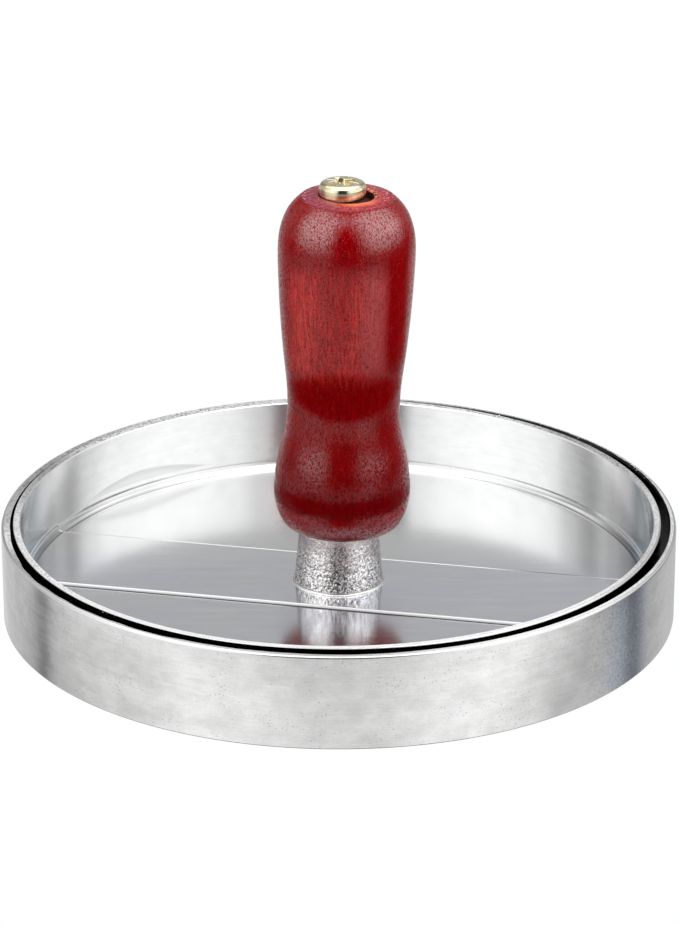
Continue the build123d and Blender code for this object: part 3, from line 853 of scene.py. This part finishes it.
    # ---- boss, tapped from the top; its foot closes the opening in the floor
    Nb = 192
    prof = []
    for i in range(0, 7):
        q = math.radians(90 * i / 6)
        prof.append((BOSS_FOOT + 0.50 - 0.50 * math.sin(q), 5.0 + 0.50 * (1 - math.cos(q)), BOSS_X, 8))
    steps = 52
    for i in range(1, steps + 1):
        t = i / steps
        prof.append((BOSS_FOOT + (BOSS_TOP - BOSS_FOOT) * t, 5.5 + (BOSS_Z - 0.30 - 5.5) * t, BOSS_X, 9))
    prof += [(BOSS_TOP - 0.08, BOSS_Z - 0.12, BOSS_X, 9), (BOSS_TOP - 0.30, BOSS_Z, BOSS_X, 9),
             (BOSS_TOP - 0.40, BOSS_Z, BOSS_X, 10),
             (2.40, BOSS_Z, SCREW_X, 10), (2.25, BOSS_Z, SCREW_X, 10), (2.0, BOSS_Z - 0.25, SCREW_X, 10),
             (2.0, BOSS_Z - 0.4, SCREW_X, 7), (2.0, 6.0, SCREW_X, 7)]
    brow = []
    from mathutils import noise as mn
    for k, (r, z, cx, m) in enumerate(prof):
        pts = []
        for i in range(Nb):
            a = 2 * math.pi * i / Nb
            rr = r
            if m == 9 and 5.7 < z < BOSS_Z - 0.4:
                q = Vector((r * math.cos(a) * 1.6, r * math.sin(a) * 1.6, z * 1.6))
                rr += 0.030 * mn.noise(q) + 0.020 * mn.noise(q * 2.7)
            pts.append((cx + rr * math.cos(a), rr * math.sin(a), z))
        brow.append(g.row(pts))
    for k in range(len(brow) - 1):
        g.join(brow[k], brow[k + 1], prof[k + 1][3])
    tip = g.row([(SCREW_X, 0.0, 5.0)])[0]
    g.fan(brow[-1], tip, 7)

    # flat fill between the opening and the boss foot
    edges = {}
    for f in hole_faces:
        for i in range(4):
            e = (f[i], f[(i + 1) % 4])
            if (e[1], e[0]) in edges:
                del edges[(e[1], e[0])]
            else:
                edges[e] = True
    nxt = {a: bq for a, bq in edges}
    s0 = next(iter(nxt))
    outer = [s0]
    while nxt[outer[-1]] != s0:
        outer.append(nxt[outer[-1]])
    from mathutils.geometry import delaunay_2d_cdt
    inner = brow[0]
    pts = [g.v[i] for i in outer] + [g.v[i] for i in inner]
    idx = outer + inner
    no, ni = len(outer), len(inner)
    # one ring of points keeps the shading flat close to the foot
    extra = []
    for i in range(Nb):
        a = 2 * math.pi * i / Nb
        extra.append((BOSS_X + (BOSS_FOOT + 0.57) * math.cos(a), (BOSS_FOOT + 0.57) * math.sin(a), 5.0))
    ext = g.row(extra)
    g.join(ext, inner, 0)
    pts = [g.v[i] for i in outer] + [g.v[i] for i in ext]
    idx = outer + ext
    edges2 = [(i, (i + 1) % no) for i in range(no)] + [(no + i, no + (i + 1) % ni) for i in range(ni)]
    co, _, tri, _, _, _ = delaunay_2d_cdt(
        [Vector((p[0], p[1])) for p in pts], edges2, [], 0, 1e-9)
    for t in tri:
        mx = sum(co[i][0] for i in t) / 3
        my = sum(co[i][1] for i in t) / 3
        if math.hypot(mx - BOSS_X, my) < (BOSS_FOOT + 0.56) * math.cos(math.pi / Nb):
            continue
        a, bq, c = (idx[i] for i in t)
        pa, pb, pc = g.v[a], g.v[bq], g.v[c]
        area = (pb[0] - pa[0]) * (pc[1] - pa[1]) - (pb[1] - pa[1]) * (pc[0] - pa[0])
        if abs(area) < 1e-7:
            continue
        g.f.append((a, bq, c) if area > 0 else (a, c, bq))
        g.fm.append(0)

    return make_object("press_plate_fine", g.v, g.f,
                       [floor_m, cup_wall, cup_wall, edge, rim, step_edge, gap_wall, plain_m,
                        edge, boss_m, plain_m], g.fm)


# ============================================================ wooden grip
GRIP_PROFILE = [
    (8.7, 15.80), (10.20, 16.60), (10.79, 17.40), (11.27, 18.40), (11.70, 19.60),
    (11.99, 21.00), (12.10, 22.80), (11.95, 25.50), (11.40, 29.00),
    (10.50, 33.00), (9.96, 37.50), (10.12, 42.50), (10.75, 48.00),
    (11.29, 53.50), (11.69, 59.00), (11.94, 64.00), (12.01, 68.00),
    (11.79, 70.50), (11.28, 72.50), (10.56, 74.20), (9.52, 75.65), (8.20, 76.88),
]


def clamped_spline(points, t0, t1, samples):
    """Cubic spline through the points by chord length, with end directions."""
    P = np.array(points, float)
    s = np.concatenate(([0.0], np.cumsum(np.hypot(*np.diff(P, axis=0).T))))
    n = len(P)
    h = np.diff(s)
    d0 = np.array(t0, float) / np.hypot(*t0)
    d1 = np.array(t1, float) / np.hypot(*t1)
    Am = np.zeros((n, n))
    B = np.zeros((n, 2))
    Am[0, 0] = 1.0
    B[0] = d0
    Am[-1, -1] = 1.0
    B[-1] = d1
    for i in range(1, n - 1):
        Am[i, i - 1] = 1 / h[i - 1]
        Am[i, i] = 2 * (1 / h[i - 1] + 1 / h[i])
        Am[i, i + 1] = 1 / h[i]
        B[i] = 3 * ((P[i] - P[i - 1]) / h[i - 1] ** 2 + (P[i + 1] - P[i]) / h[i] ** 2)
    D = np.linalg.solve(Am, B)

    def at(u):
        k = min(max(int(np.searchsorted(s, u) - 1), 0), n - 2)
        t = (u - s[k]) / h[k]
        h00, h10 = 2 * t ** 3 - 3 * t ** 2 + 1, t ** 3 - 2 * t ** 2 + t
        h01, h11 = -2 * t ** 3 + 3 * t ** 2, t ** 3 - t ** 2
        return h00 * P[k] + h10 * h[k] * D[k] + h01 * P[k + 1] + h11 * h[k] * D[k + 1]
    return at, s


def build_grip():
    lean = math.radians(1.06)
    cl, sl = math.cos(lean), math.sin(lean)
    ax, az0 = 0.43, 15.0

    def to_world(xl, yl, zl):
        """From the grip's own axes, heights counted from z = 15."""
        return (ax + xl * cl + zl * sl, yl, az0 - xl * sl + zl * cl)

    def to_local(xw, yw, zw):
        dx_, dz_ = xw - ax, zw - az0
        return (dx_ * cl - dz_ * sl, yw, dx_ * sl + dz_ * cl)

    at, s = clamped_spline(GRIP_PROFILE, (1.0, 0.30), (-1.0, 0.75), None)
    N = 320
    base_z = 16.22
    ang = [2 * math.pi * i / N for i in range(N)]

    def side(u):
        if u >= 0:
            r, zz = at(u)
            return r, zz - az0
        t = max(u, -0.7) / 0.7 * -1.0          # short straight run below the profile
        return 8.7 - 0.5 * t, (15.80 - 0.6 * t) - az0

    def wpoint(u, a):
        r, zz = side(u)
        return to_world(r * math.cos(a), r * math.sin(a), zz)

    # where each column leaves the flat base
    u0 = []
    for a in ang:
        lo, hi = -0.7, 2.0
        for _ in range(50):
            mid = (lo + hi) / 2
            if wpoint(mid, a)[2] < base_z:
                lo = mid
            else:
                hi = mid
        u0.append(hi)
    g = Rows()
    rows, mats = [], []
    u1 = 2.4
    rows.append(g.row([(wpoint(u0[i], ang[i])[0], wpoint(u0[i], ang[i])[1], base_z) for i in range(N)]))
    for t in (0.04, 0.12, 0.25, 0.4, 0.55, 0.7, 0.85, 1.0):
        rows.append(g.row([wpoint(u0[i] + (u1 - u0[i]) * t, ang[i]) for i in range(N)]))
        mats.append(0)
    total = s[-1]
    us = []
    u = u1
    while u < total - 0.01:
        r, zz = at(u)
        du = 0.45 if (zz < 24 or zz > 68) else 0.9
        if zz > 76.3:
            du = 0.15
        u += du
        us.append(min(u, total))
    if us[-1] - us[-2] < 0.05:
        us.pop(-2)
    for u in us:
        rows.append(g.row([wpoint(u, a) for a in ang]))
        mats.append(0)

    def lrow(radius, height, mat):
        """A row in the grip's own frame; radius and height may depend on the column."""
        pts = []
        for i, a in enumerate(ang):
            r = radius(i) if callable(radius) else radius
            h = height(i, r) if callable(height) else height
            pts.append(to_world(r * math.cos(a), r * math.sin(a), h - az0))
        rows.append(g.row(pts))
        mats.append(mat)

    # end face: shallow crown from the side's edge to the mouth of the counterbore
    x1, y1, x2, y2, x3, y3 = 8.20, 76.88, 6.7, 77.20, 5.05, 77.36
    d = 2 * (x1 * (y2 - y3) + x2 * (y3 - y1) + x3 * (y1 - y2))
    ux = ((x1 ** 2 + y1 ** 2) * (y2 - y3) + (x2 ** 2 + y2 ** 2) * (y3 - y1) + (x3 ** 2 + y3 ** 2) * (y1 - y2)) / d
    uy = ((x1 ** 2 + y1 ** 2) * (x3 - x2) + (x2 ** 2 + y2 ** 2) * (x1 - x3) + (x3 ** 2 + y3 ** 2) * (x2 - x1)) / d
    rr = math.hypot(x1 - ux, y1 - uy)

    def crown(r):
        return uy + math.sqrt(rr * rr - (r - ux) ** 2)

    # the mouth: counterbore round the grip's axis, widened on one side by the seat
    # that the screw head has pressed
    off = SCREW_X - (ax + 62.2 * sl)
    press_r, bore_seat = 4.22, 4.60
    mouth, outer = [], []
    for a in ang:
        h2 = press_r ** 2 - (off * math.sin(a)) ** 2
        rp = off * math.cos(a) + math.sqrt(h2)
        k = 0.05                                  # a soft corner where the two circles meet
        m_ = 0.5 * (bore_seat + rp + math.sqrt((bore_seat - rp) ** 2 + k * k))
        mouth.append(m_)
        outer.append(0.5 * (5.05 + m_ + 0.14 + math.sqrt((5.05 - m_ - 0.14) ** 2 + 0.01)))
    for t in (0.03, 0.12, 0.35, 0.6, 0.8, 0.93):
        lrow(lambda i, t=t: 8.20 + (outer[i] + 0.06 - 8.20) * t, lambda i, r: crown(r), 1)
    lrow(lambda i: outer[i] + 0.06, lambda i, r: crown(r), 1)
    lrow(lambda i: outer[i] - 0.02, lambda i, r: crown(outer[i]) - 0.018, 2)
    lrow(lambda i: outer[i] - 0.10, lambda i, r: crown(outer[i]) - 0.062, 2)
    lrow(lambda i: mouth[i] + 0.06, lambda i, r: crown(outer[i]) - 0.235, 2)
    lrow(lambda i: mouth[i] + 0.012, lambda i, r: crown(outer[i]) - 0.285, 2)
    lrow(lambda i: mouth[i], lambda i, r: crown(outer[i]) - 0.34, 4)

    def flat(zw):
        """Height in the grip's frame that lies at one world height."""
        def f(i, r):
            lx = r * math.cos(ang[i])
            return az0 + (zw - az0 + lx * sl) / cl
        return f
    lrow(lambda i: mouth[i], flat(76.84), 4)
    lrow(lambda i: mouth[i], flat(76.76), 4)
    lrow(4.60, flat(76.73), 4)
    zc = 77.36 - 1.60
    for zz in (76.45, 76.1, zc + 0.05, zc):
        lrow(4.60, zz, 4)
    for r in (4.5, 3.9, 3.3):
        lrow(r, zc - 0.35 * (4.6 - r), 4)
    # bore: a straight vertical hole, a little askew to the grip
    br, bxw = 2.10, SCREW_X
    pts = []
    for a in ang:
        xw, yw, zw = bxw + br * math.cos(a), br * math.sin(a), 75.0
        for _ in range(30):
            lx, ly, lz = to_local(xw, yw, zw)
            want = zc - az0 - 0.35 * (4.6 - math.hypot(lx, ly))
            zw += want - lz
        pts.append((xw, yw, zw))
    rows.append(g.row(pts)); mats.append(4)
    rows.append(g.row([(p[0], p[1], 70.0) for p in pts])); mats.append(3)
    for zz in (55.0, 35.0, base_z):
        rows.append(g.row([(p[0], p[1], zz) for p in pts])); mats.append(3)
    # flat base back out to the first row
    for k in range(len(rows) - 1):
        g.join(rows[k], rows[k + 1], mats[k])
    first = rows[0]
    last = rows[-1]
    mids = []
    for t in (0.02, 0.5, 0.96):
        mids.append(g.row([
            tuple(g.v[last[i]][c] + (g.v[first[i]][c] - g.v[last[i]][c]) * t for c in range(3))
            for i in range(N)]))
    chain = [last] + mids + [first]
    for k in range(len(chain) - 1):
        g.join(chain[k], chain[k + 1], 3)
    return make_object("wooden_grip_fine", g.v, g.f, [wood, wood_end, wood_lip, wood_raw, wood_bore], g.fm, 24.0)


# ============================================================ grip screw
def build_screw():
    sx = SCREW_X
    under, head_h, hr, sr = 76.78, 3.10, 4.08, 1.99
    tip = under - 70.0
    top = under + head_h
    # dome: height over the underside by radius
    ball = (3.10 ** 2 + 0.20 ** 2) / 0.40
    pts = [(3.10, 2.90), (3.30, 2.845), (3.50, 2.775), (3.65, 2.70), (3.79, 2.61), (3.90, 2.49),
           (3.98, 2.36), (4.04, 2.20), (4.07, 2.07), (4.08, 1.95)]

    def dome(r):
        if r <= 3.10:
            return 3.10 - ball + math.sqrt(ball * ball - r * r)
        for (r0, h0), (r1, h1) in zip(pts, pts[1:]):
            if r <= r1:
                t = (r - r0) / (r1 - r0)
                return h0 + (h1 - h0) * t
        return 1.95
    turn = math.radians(24.0)

    def soft(v, k=0.05):
        q = v / k
        return v if q > 30 else (0.0 if q < -30 else k * math.log1p(math.exp(q)))

    def depth(px, py):
        """Depth of the cross recess and its four small marks at a point of the head."""
        xr = px * math.cos(turn) + py * math.sin(turn)
        yr = -px * math.sin(turn) + py * math.cos(turn)
        best = -1.0
        for a_, b_ in ((xr, yr), (yr, xr)):
            d_end = (2.45 - abs(a_)) * 2.1
            d_side = (0.575 - abs(b_)) * 6.0
            best = max(best, min(d_end, d_side))
        r = math.hypot(xr, yr)
        best = max(best, min((1.02 - r) * 3.2, 1.6))
        best = min(best, 1.70)
        d = soft(best, 0.035)
        xd, yd = (xr + yr) / math.sqrt(2), (xr - yr) / math.sqrt(2)
        for a_, b_ in ((xd, yd), (yd, xd)):
            if 1.15 < abs(a_) < 3.0:
                d += 0.12 * max(0.0, 1 - (abs(b_) / 0.14) ** 2) * min(1.0, (abs(a_) - 1.15) / 0.15, (3.0 - abs(a_)) / 0.15)
        return d

    g = Rows()
    # square patch over the recess, its lines running along the wings
    lines = []
    for a_, b_, k in ((0.0, 0.30, 3), (0.30, 0.66, 18), (0.66, 2.1, 22), (2.1, 2.58, 18)):
        lines += [a_ + (b_ - a_) * i / k for i in range(k)]
    lines.append(2.58)
    ax_ = sorted(set([-v for v in lines] + lines))
    K = len(ax_)
    grid = []
    for j in range(K):
        pts_row = []
        for i in range(K):
            lx, ly = ax_[i], ax_[j]
            px = lx * math.cos(turn) - ly * math.sin(turn)
            py = lx * math.sin(turn) + ly * math.cos(turn)
            r = math.hypot(px, py)
            pts_row.append((sx + px, py, under + dome(r) - depth(px, py)))
        grid.append(g.row(pts_row))
    for j in range(K - 1):
        for i in range(K - 1):
            g.f.append((grid[j][i], grid[j][i + 1], grid[j + 1][i + 1], grid[j + 1][i]))
            g.fm.append(0)
    border = [(0, i) for i in range(K)] + [(j, K - 1) for j in range(1, K)] + \
             [(K - 1, i) for i in range(K - 2, -1, -1)] + [(j, 0) for j in range(K - 2, 0, -1)]
    start = [grid[j][i] for j, i in border]
    locs = []
    for j, i in border:
        lx, ly = ax_[i], ax_[j]
        locs.append((lx * math.cos(turn) - ly * math.sin(turn), lx * math.sin(turn) + ly * math.cos(turn)))
    rows = [start]
    # from the square out to a circle
    for t in (0.15, 0.35, 0.55, 0.78, 1.0):
        pts_row = []
        for px, py in locs:
            r0 = math.hypot(px, py)
            r = r0 + (3.80 - r0) * t
            qx, qy = px / r0 * r, py / r0 * r
            pts_row.append((sx + qx, qy, under + dome(r) - depth(qx, qy)))
        rows.append(g.row(pts_row))

    def circ(r, zz):
        rows.append(g.row([(sx + px / math.hypot(px, py) * r, py / math.hypot(px, py) * r, zz) for px, py in locs]))
    for r, h in ((3.88, 2.47), (3.94, 2.37), (3.995, 2.25), (4.04, 2.14), (4.07, 2.03), (4.08, 1.95), (4.08, 1.85), (4.08, 0.60)):
        circ(r, under + h)
    for q in range(0, 91, 18):
        qq = math.radians(q)
        circ(3.63 + 0.45 * math.cos(qq), under + 0.45 - 0.45 * math.sin(qq))
    for r in (3.50, 2.8, 2.05):
        circ(r, under)
    circ(sr, under)
    for zz in (under - 0.1, 60.0, 40.0, 20.0, tip + 0.55, tip + 0.5):
        circ(sr, zz)
    circ(sr - 0.5, tip)
    circ(sr - 0.6, tip)
    for k in range(len(rows) - 1):
        g.join(rows[k], rows[k + 1], 0)
    c = g.row([(sx, 0.0, tip)])[0]
    g.fan(rows[-1], c, 0)
    return make_object("grip_screw_fine", g.v, g.f, [zinc], g.fm, 50.0)


def outward(ob):
    """Turns every face outwards."""
    import bmesh
    bm = bmesh.new()
    bm.from_mesh(ob.data)
    bmesh.ops.recalc_face_normals(bm, faces=bm.faces)
    open_edges = [e for e in bm.edges if len(e.link_faces) != 2]
    vol = bm.calc_volume(signed=True)
    if vol < 0:
        for f in bm.faces:
            f.normal_flip()
    bm.to_mesh(ob.data)
    bm.free()
    ob.data.update()
    print("mesh", ob.name, "faces", len(ob.data.polygons), "open edges", len(open_edges), "mm3", round(abs(vol) * 1e9, 1))


ring = build_ring()
plate = build_plate()
grip = build_grip()
screw = build_screw()
for ob in (ring, plate, grip, screw):
    outward(ob)

for ob, node, body, slot in (
    (ring, "mould_ring", "ring", "ring_aluminium"),
    (plate, "press_plate", "plunger", "plate_aluminium"),
    (screw, "grip_screw", "plunger", "yellow_zinc"),
    (grip, "wooden_grip", "grip", "red_wood"),
):
    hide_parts(node)
    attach(ob, body)

# ------------------------------------------------------------ floor
gm = Rows()
S = 6000.0
q = gm.row([(-S, -S, -0.02), (S, -S, -0.02), (S, S, -0.02), (-S, S, -0.02)])
gm.f.append(tuple(q))
gm.fm.append(0)
floor_mat = bpy.data.materials.new("pale_floor")
floor_mat.use_nodes = True
fn = Net(floor_mat.node_tree)
for node in list(fn.n):
    fn.n.remove(node)
fo = fn.new("ShaderNodeOutputMaterial")
fe = fn.new("ShaderNodeEmission")
fe.inputs[0].default_value = (1, 1, 1, 1)
fe.inputs[1].default_value = 1.0
fn.l.new(fe.outputs[0], fo.inputs[0])
ground = make_object("floor", gm.v, gm.f, [floor_mat], gm.fm)
ground.visible_diffuse = False
ground.visible_glossy = False
ground.visible_transmission = False
ground.visible_shadow = False

# the patch of floor under the object is lit like any other surface
under_mat, n, b = material("floor_under")
b.inputs["Base Color"].default_value = (0.72, 0.72, 0.72, 1)
b.inputs["Roughness"].default_value = 0.9
b.inputs["Specular IOR Level"].default_value = 0.0
gm = Rows()
q = gm.row([(59.7 * math.cos(2 * math.pi * i / 256), 59.7 * math.sin(2 * math.pi * i / 256), -0.01) for i in range(256)])
gm.f.append(tuple(q))
gm.fm.append(0)
patch = make_object("floor_patch", gm.v, gm.f, [under_mat], gm.fm)

# farther off the floor is greyer; only reflections see this part of it
far_mat = bpy.data.materials.new("far_floor")
far_mat.use_nodes = True
fn = Net(far_mat.node_tree)
for node in list(fn.n):
    fn.n.remove(node)
fo = fn.new("ShaderNodeOutputMaterial")
fe = fn.new("ShaderNodeEmission")
ft = fn.new("ShaderNodeTexCoord")
fx, fy, fz = fn.split(ft.outputs["Object"])
faz = fn.mul(fn.m("ARCTAN2", fx, fn.mul(fy, -1.0)), 180 / math.pi)
frad = fn.mul(fn.m("SQRT", fn.add(fn.mul(fx, fx), fn.mul(fy, fy))), 1000.0)
near_t = fn.table(faz, -180, 180, [
    (-180, 0.75), (-140, 0.70), (-120, 0.32), (-100, 0.47), (-80, 0.76), (-60, 0.85), (-40, 0.85),
    (-15, 0.68), (0, 0.62), (18, 0.72), (40, 1.10), (58, 0.95), (68, 0.40), (80, 0.07), (100, 0.08),
    (120, 0.20), (140, 0.75), (180, 0.75),
])
far_t = fn.table(faz, -180, 180, [
    (-180, 0.55), (-140, 0.55), (-120, 0.25), (-104, 0.12), (-84, 0.62), (-60, 0.85), (-40, 0.80),
    (-25, 0.30), (-18, 0.04), (16, 0.03), (26, 0.20), (40, 0.45), (60, 0.40), (80, 0.30), (100, 0.18),
    (120, 0.10), (140, 0.45), (180, 0.55),
])
fn.put(fe.inputs[1], fn.fmix(fn.ss(frad, 180.0, 300.0), near_t, far_t))
fn.l.new(fe.outputs[0], fo.inputs[0])
gm = Rows()
inner = gm.row([(92 * math.cos(2 * math.pi * i / 128), 92 * math.sin(2 * math.pi * i / 128), -0.03) for i in range(128)])
outer = gm.row([(3000 * math.cos(2 * math.pi * i / 128), 3000 * math.sin(2 * math.pi * i / 128), -0.03) for i in range(128)])
gm.join(inner, outer, 0)
far = make_object("far_floor", gm.v, gm.f, [far_mat], gm.fm)
far.visible_camera = False
far.visible_diffuse = False
far.visible_shadow = False


# ------------------------------------------------------------ soft boxes
gloss_set = bpy.data.collections.new("lit_by_soft_boxes")
gloss_set.objects.link(grip)


def soft_box(name, azimuth, elevation, distance, width, height, radiance, half, up, down):
    """A soft light panel: flat across, fading to its sides and more slowly upwards."""
    light = bpy.data.lights.new(name, "AREA")
    light.shape = "RECTANGLE"
    light.size, light.size_y = width, height
    light.energy = radiance * width * height * math.pi
    light.use_nodes = True
    ln = Net(light.node_tree)
    em = next(n for n in ln.n if n.type == "EMISSION")
    geo = ln.new("ShaderNodeNewGeometry")
    u, v, _ = ln.split(geo.outputs["Parametric"])
    # angles from the middle of the panel, degrees
    au = ln.mul(ln.m("ARCTANGENT", ln.mul(ln.sub(u, 0.5), width / distance)), 180 / math.pi)
    av = ln.mul(ln.m("ARCTANGENT", ln.mul(ln.sub(v, 0.5), height / distance)), 180 / math.pi)
    fu = ln.m("EXPONENT", ln.mul(ln.m("POWER", ln.mul(ln.m("ABSOLUTE", au), 1 / half), 4.0), -1.0))
    wide = ln.fmix(ln.m("GREATER_THAN", av, 0.0), down, up)
    fv = ln.m("EXPONENT", ln.mul(ln.m("POWER", ln.m("DIVIDE", ln.m("ABSOLUTE", av), wide), 2.0), -0.5))
    edge_u = ln.mul(ln.ss(u, 0.0, 0.05), ln.ss(u, 0.95, 1.0, 1.0, 0.0))
    edge_v = ln.mul(ln.ss(v, 0.0, 0.12), ln.ss(v, 0.88, 1.0, 1.0, 0.0))
    ln.put(em.inputs[1], ln.mul(fu, fv, edge_u, edge_v))
    ob = bpy.data.objects.new(name, light)
    scene.collection.objects.link(ob)
    a, e = math.radians(azimuth), math.radians(elevation)
    d = Vector((math.sin(a) * math.cos(e), -math.cos(a) * math.cos(e), math.sin(e)))
    ob.location = Vector((0, 0, 0.05)) + d * distance
    ob.rotation_mode = "QUATERNION"
    ob.rotation_quaternion = d.to_track_quat("Z", "Y")
    ob.visible_camera = False
    ob.light_linking.receiver_collection = gloss_set
    return ob


soft_box("soft_box_left", -61, 30, 0.60, 1.10, 1.20, 5.9, 32.0, 38.0, 17.0)
soft_box("soft_box_right", 72, 30, 0.60, 1.50, 1.20, 5.9, 39.0, 38.0, 17.0)
